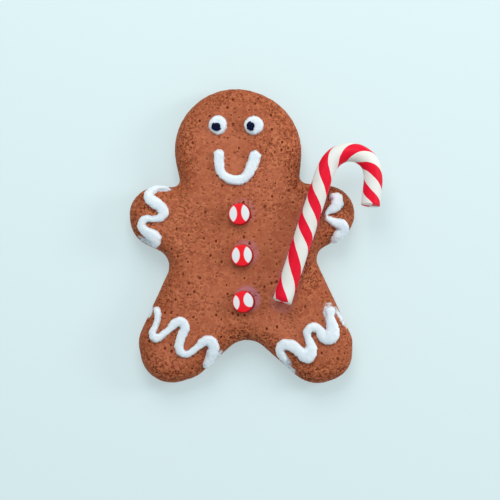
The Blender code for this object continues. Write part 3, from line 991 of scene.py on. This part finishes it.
def shape_cane(mesh, path, tangents, height):
    """Stores where each strand runs, presses the seams between them and slants the cut ends."""
    places = vertex_places(mesh)
    tree = KDTree(len(path))
    for index, point in enumerate(path):
        tree.insert(point, index)
    tree.balance()
    nearest = np.array([tree.find(place)[1] for place in places])
    steps = np.linalg.norm(np.diff(path, axis=0), axis=1)
    travelled = np.concatenate(([0.0], np.cumsum(steps)))
    along = travelled[nearest]
    tangent = tangents[nearest]
    left = np.stack((-tangent[:, 1], tangent[:, 0]), axis=1)
    offset = places - path[nearest]
    angle = np.arctan2(offset[:, 2], (offset[:, :2] * left).sum(axis=1))
    turns = np.interp(along / MM, STRAND_PLACES, np.arange(len(STRAND_PLACES)))
    phase = math.tau * turns + 2 * angle
    strand = np.stack((np.cos(phase), np.sin(phase), np.zeros(len(phase))), axis=1)
    write_attribute(mesh, "strand", strand)

    seam = np.exp(-((np.cos(phase) - STRAND_EDGE) / CANE_GROOVE_WIDTH) ** 2)
    wobble = np.array([noise.noise(Vector(place) / CANE_WOBBLE_SIZE) for place in places])
    radius = np.hypot(np.hypot(offset[:, 0], offset[:, 1]), offset[:, 2])
    outer = soft_step(radius, CANE_SKIN[0] * CANE_RADIUS, CANE_SKIN[1] * CANE_RADIUS)
    change = outer * (CANE_WOBBLE * (wobble - CANE_WOBBLE_MIDDLE) - CANE_GROOVE * seam)
    places += offset * (change / CANE_RADIUS)[:, None]
    for end, outward in ((0, -1), (len(path) - 1, 1)):
        from_end = np.abs(along - travelled[end])
        share = soft_step(from_end, CANE_BLADE_REACH * CANE_RADIUS, 0.0)
        slant = CANE_BLADE_SLANT * share * (places[:, 2] - height)
        places -= outward * tangents[end] * slant[:, None]
    mesh.vertices.foreach_set("co", places.ravel())
    mesh.update()


def cane_material(groups):
    made, tree, shader = new_material(
        "twisted red and white clay", Roughness=0.48, Specular_IOR_Level=0.2
    )
    place = object_place(tree)
    clay = clay_marks(tree, groups, place, CANE_CLOUD_SIZE, CANE_DIMPLE_SIZE)
    strand = attribute(tree, "strand", "Vector")
    across = add_node(tree, "ShaderNodeSeparateXYZ", {0: strand}).outputs[0]
    ragged = noise_node(tree, place, STRAND_RAGGED_SIZE, detail=3.0).outputs[0]
    ragged = math_node(tree, "SUBTRACT", ragged, NOISE_MIDDLE)
    ragged = math_node(tree, "MULTIPLY", ragged, STRAND_RAGGEDNESS)
    across = math_node(tree, "ADD", across, ragged)
    red = remap(tree, across, STRAND_EDGE - STRAND_BLUR, STRAND_EDGE + STRAND_BLUR)
    white = blend_colours(tree, clay.outputs["Cloud"], CANE_WHITE, CANE_WHITE_WARM)
    reds = blend_colours(tree, clay.outputs["Cloud"], CANE_RED, CANE_RED_DEEP)
    colour = blend_colours(tree, red, white, reds)
    specks = group_node(
        tree, groups["specks"], Place=place, Scale=1 / CANE_SPECK_SPACING, Share=CANE_SPECK_SHARE
    ).outputs[0]
    colour = blend_colours(tree, specks, colour, SPECK)
    tree.links.new(colour, shader.inputs["Base Color"])
    tree.links.new(bump(tree, clay.outputs["Height"], *CANE_BUMP), shader.inputs["Normal"])
    return made


# Buttons

def button_material(name, groups, centre, top):
    """Red clay with two white petals on the button's face, and painted shade down its side."""
    made, tree, shader = new_material(name + " clay", Roughness=0.45, Specular_IOR_Level=0.2)
    place = object_place(tree)
    face_place = add_node(
        tree,
        "ShaderNodeMapping",
        {
            "Vector": place,
            "Location": tuple(-value / BUTTON_RADIUS for value in (*centre, top)),
            "Scale": (1 / BUTTON_RADIUS,) * 3,
        },
        vector_type="POINT",
    ).outputs[0]
    clay = clay_marks(tree, groups, place, BUTTON_CLOUD_SIZE, BUTTON_DIMPLE_SIZE)
    white = 0.0
    for x, y, half_width, half_height in PETALS[name]:
        petal = group_node(
            tree,
            groups["petal"],
            Face_Place=face_place,
            Centre=(x, y, 0.0),
            Half_Size=(half_width, half_height, PETAL_DEPTH),
        ).outputs[0]
        white = math_node(tree, "MAXIMUM", petal, white)
    rim = group_node(
        tree,
        groups["petal"],
        Face_Place=face_place,
        Half_Size=(PETAL_REACH, PETAL_REACH, PETAL_DEPTH),
    ).outputs[0]
    white = math_node(tree, "MULTIPLY", white, rim)
    reds = blend_colours(tree, clay.outputs["Cloud"], BUTTON_RED, BUTTON_RED_PINK)
    below = add_node(tree, "ShaderNodeSeparateXYZ", {0: face_place}).outputs[2]
    # The side below the face is darkened with painted shade.
    reds = blend_colours(tree, remap(tree, below, *SIDE_SHADE_DEPTHS), reds, BUTTON_SIDE_PAINTED_SHADE)
    colour = blend_colours(tree, white, reds, BUTTON_WHITE)
    tree.links.new(colour, shader.inputs["Base Color"])
    tree.links.new(bump(tree, clay.outputs["Height"], *BUTTON_BUMP), shader.inputs["Normal"])
    return made


def make_button(name, groups):
    """A thin slice of cane: a short block with soft rims, its top pushed a little to one side."""
    low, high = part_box(name)
    centre = ((low[0] + high[0]) / 2, (low[1] + high[1]) / 2)
    depth = high[2] - low[2] + BUTTON_SINK
    bm = bmesh.new()
    bmesh.ops.create_cone(
        bm,
        cap_ends=True,
        segments=BUTTON_SEGMENTS,
        radius1=BUTTON_RADIUS + BUTTON_LEAN / 2,
        radius2=BUTTON_RADIUS,
        depth=depth,
    )
    rims = [edge for edge in bm.edges if abs(edge.verts[0].co.z - edge.verts[1].co.z) < depth / 2]
    bmesh.ops.bevel(
        bm,
        geom=rims,
        offset=BUTTON_EDGE,
        segments=BUTTON_EDGE_STEPS,
        profile=0.5,
        affect="EDGES",
        material=-1,
    )
    for vert in bm.verts:
        rise = vert.co.z / depth
        vert.co.x -= BUTTON_LEAN * rise
        sample = Vector((vert.co.x, vert.co.y, centre[1] * BUTTON_VARIETY))
        wave = noise.noise(sample / BUTTON_OUT_OF_ROUND_SIZE) - BUTTON_OUT_OF_ROUND_MIDDLE
        vert.co.xy *= 1 + BUTTON_OUT_OF_ROUND * wave
    place = (centre[0], centre[1], high[2] - depth / 2)
    bmesh.ops.translate(bm, verts=bm.verts, vec=place)
    finish = button_material(name, groups, centre, high[2])
    piece = add_piece(name + "_slice", bm, finish)
    piece.data.set_sharp_from_angle(angle=BUTTON_CREASE_ANGLE)
    stand_in(piece, "button", name)


# Surroundings

def make_floor():
    bm = bmesh.new()
    bmesh.ops.create_grid(bm, x_segments=1, y_segments=1, size=FLOOR_SIZE)
    made, _, _ = new_material(
        "pale light table",
        Base_Color=FLOOR,
        Roughness=0.7,
        Emission_Color=FLOOR_GLOW,
        Emission_Strength=FLOOR_GLOW_STRENGTH,
    )
    floor = add_piece("floor", bm, made)


def make_light():
    world = bpy.data.worlds.new("studio")
    world.use_nodes = True
    background = world.node_tree.nodes["Background"]
    background.inputs["Color"].default_value = WORLD_COLOUR
    background.inputs["Strength"].default_value = WORLD_STRENGTH
    bpy.context.scene.world = world
    for name, place, size, power, colour in LIGHTS:
        lamp = bpy.data.lights.new(name, "AREA")
        lamp.size = size
        lamp.energy = power
        lamp.color = colour
        holder = bpy.data.objects.new(name, lamp)
        holder.location = place
        holder.rotation_mode = "QUATERNION"
        holder.rotation_quaternion = (-Vector(place)).to_track_quat("-Z", "Y")
        bpy.context.scene.collection.objects.link(holder)


def make_camera():
    lens = bpy.data.cameras.new("camera")
    lens.sensor_width = SENSOR
    lens.lens = SENSOR * VIEW_DISTANCE / VIEW_WIDTH
    lens.clip_start = 0.01
    lens.clip_end = 10.0
    camera = bpy.data.objects.new("camera", lens)
    back = Vector((0.0, -math.cos(VIEW_ELEVATION), math.sin(VIEW_ELEVATION)))
    camera.location = Vector(VIEW_CENTRE) + back * VIEW_DISTANCE
    camera.rotation_mode = "QUATERNION"
    camera.rotation_quaternion = (-back).to_track_quat("-Z", "Y")
    bpy.context.scene.collection.objects.link(camera)
    bpy.context.scene.camera = camera


def main():
    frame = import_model()
    groups = {
        "pinholes": pinhole_group(),
        "clay": worked_clay_group(),
        "specks": speck_group(),
        "petal": petal_group(),
    }
    make_dough(frame, groups)
    bm = merged_copy(frame, "cookie")
    surface = BVHTree.FromBMesh(bm)
    bm.free()
    icing = icing_material(groups)
    for seed, node in enumerate(ICING_NODES):
        make_icing(frame, node, surface, icing, ICING_VOXEL, ICING_LUMP, ICING_LUMP_SIZE, seed)
    black = pupil_material(groups)
    for seed, side in enumerate(("left", "right")):
        make_icing(
            frame, "pupil_" + side, surface, black, PUPIL_VOXEL, PUPIL_LUMP, PUPIL_LUMP_SIZE,
            seed, slot="pupil", spread=PUPIL_SPREAD,
        )
    make_cane(groups)
    for name in PETALS:
        make_button(name, groups)
    make_floor()
    make_light()
    make_camera()
    bpy.context.scene.view_settings.view_transform = "Standard"


main()
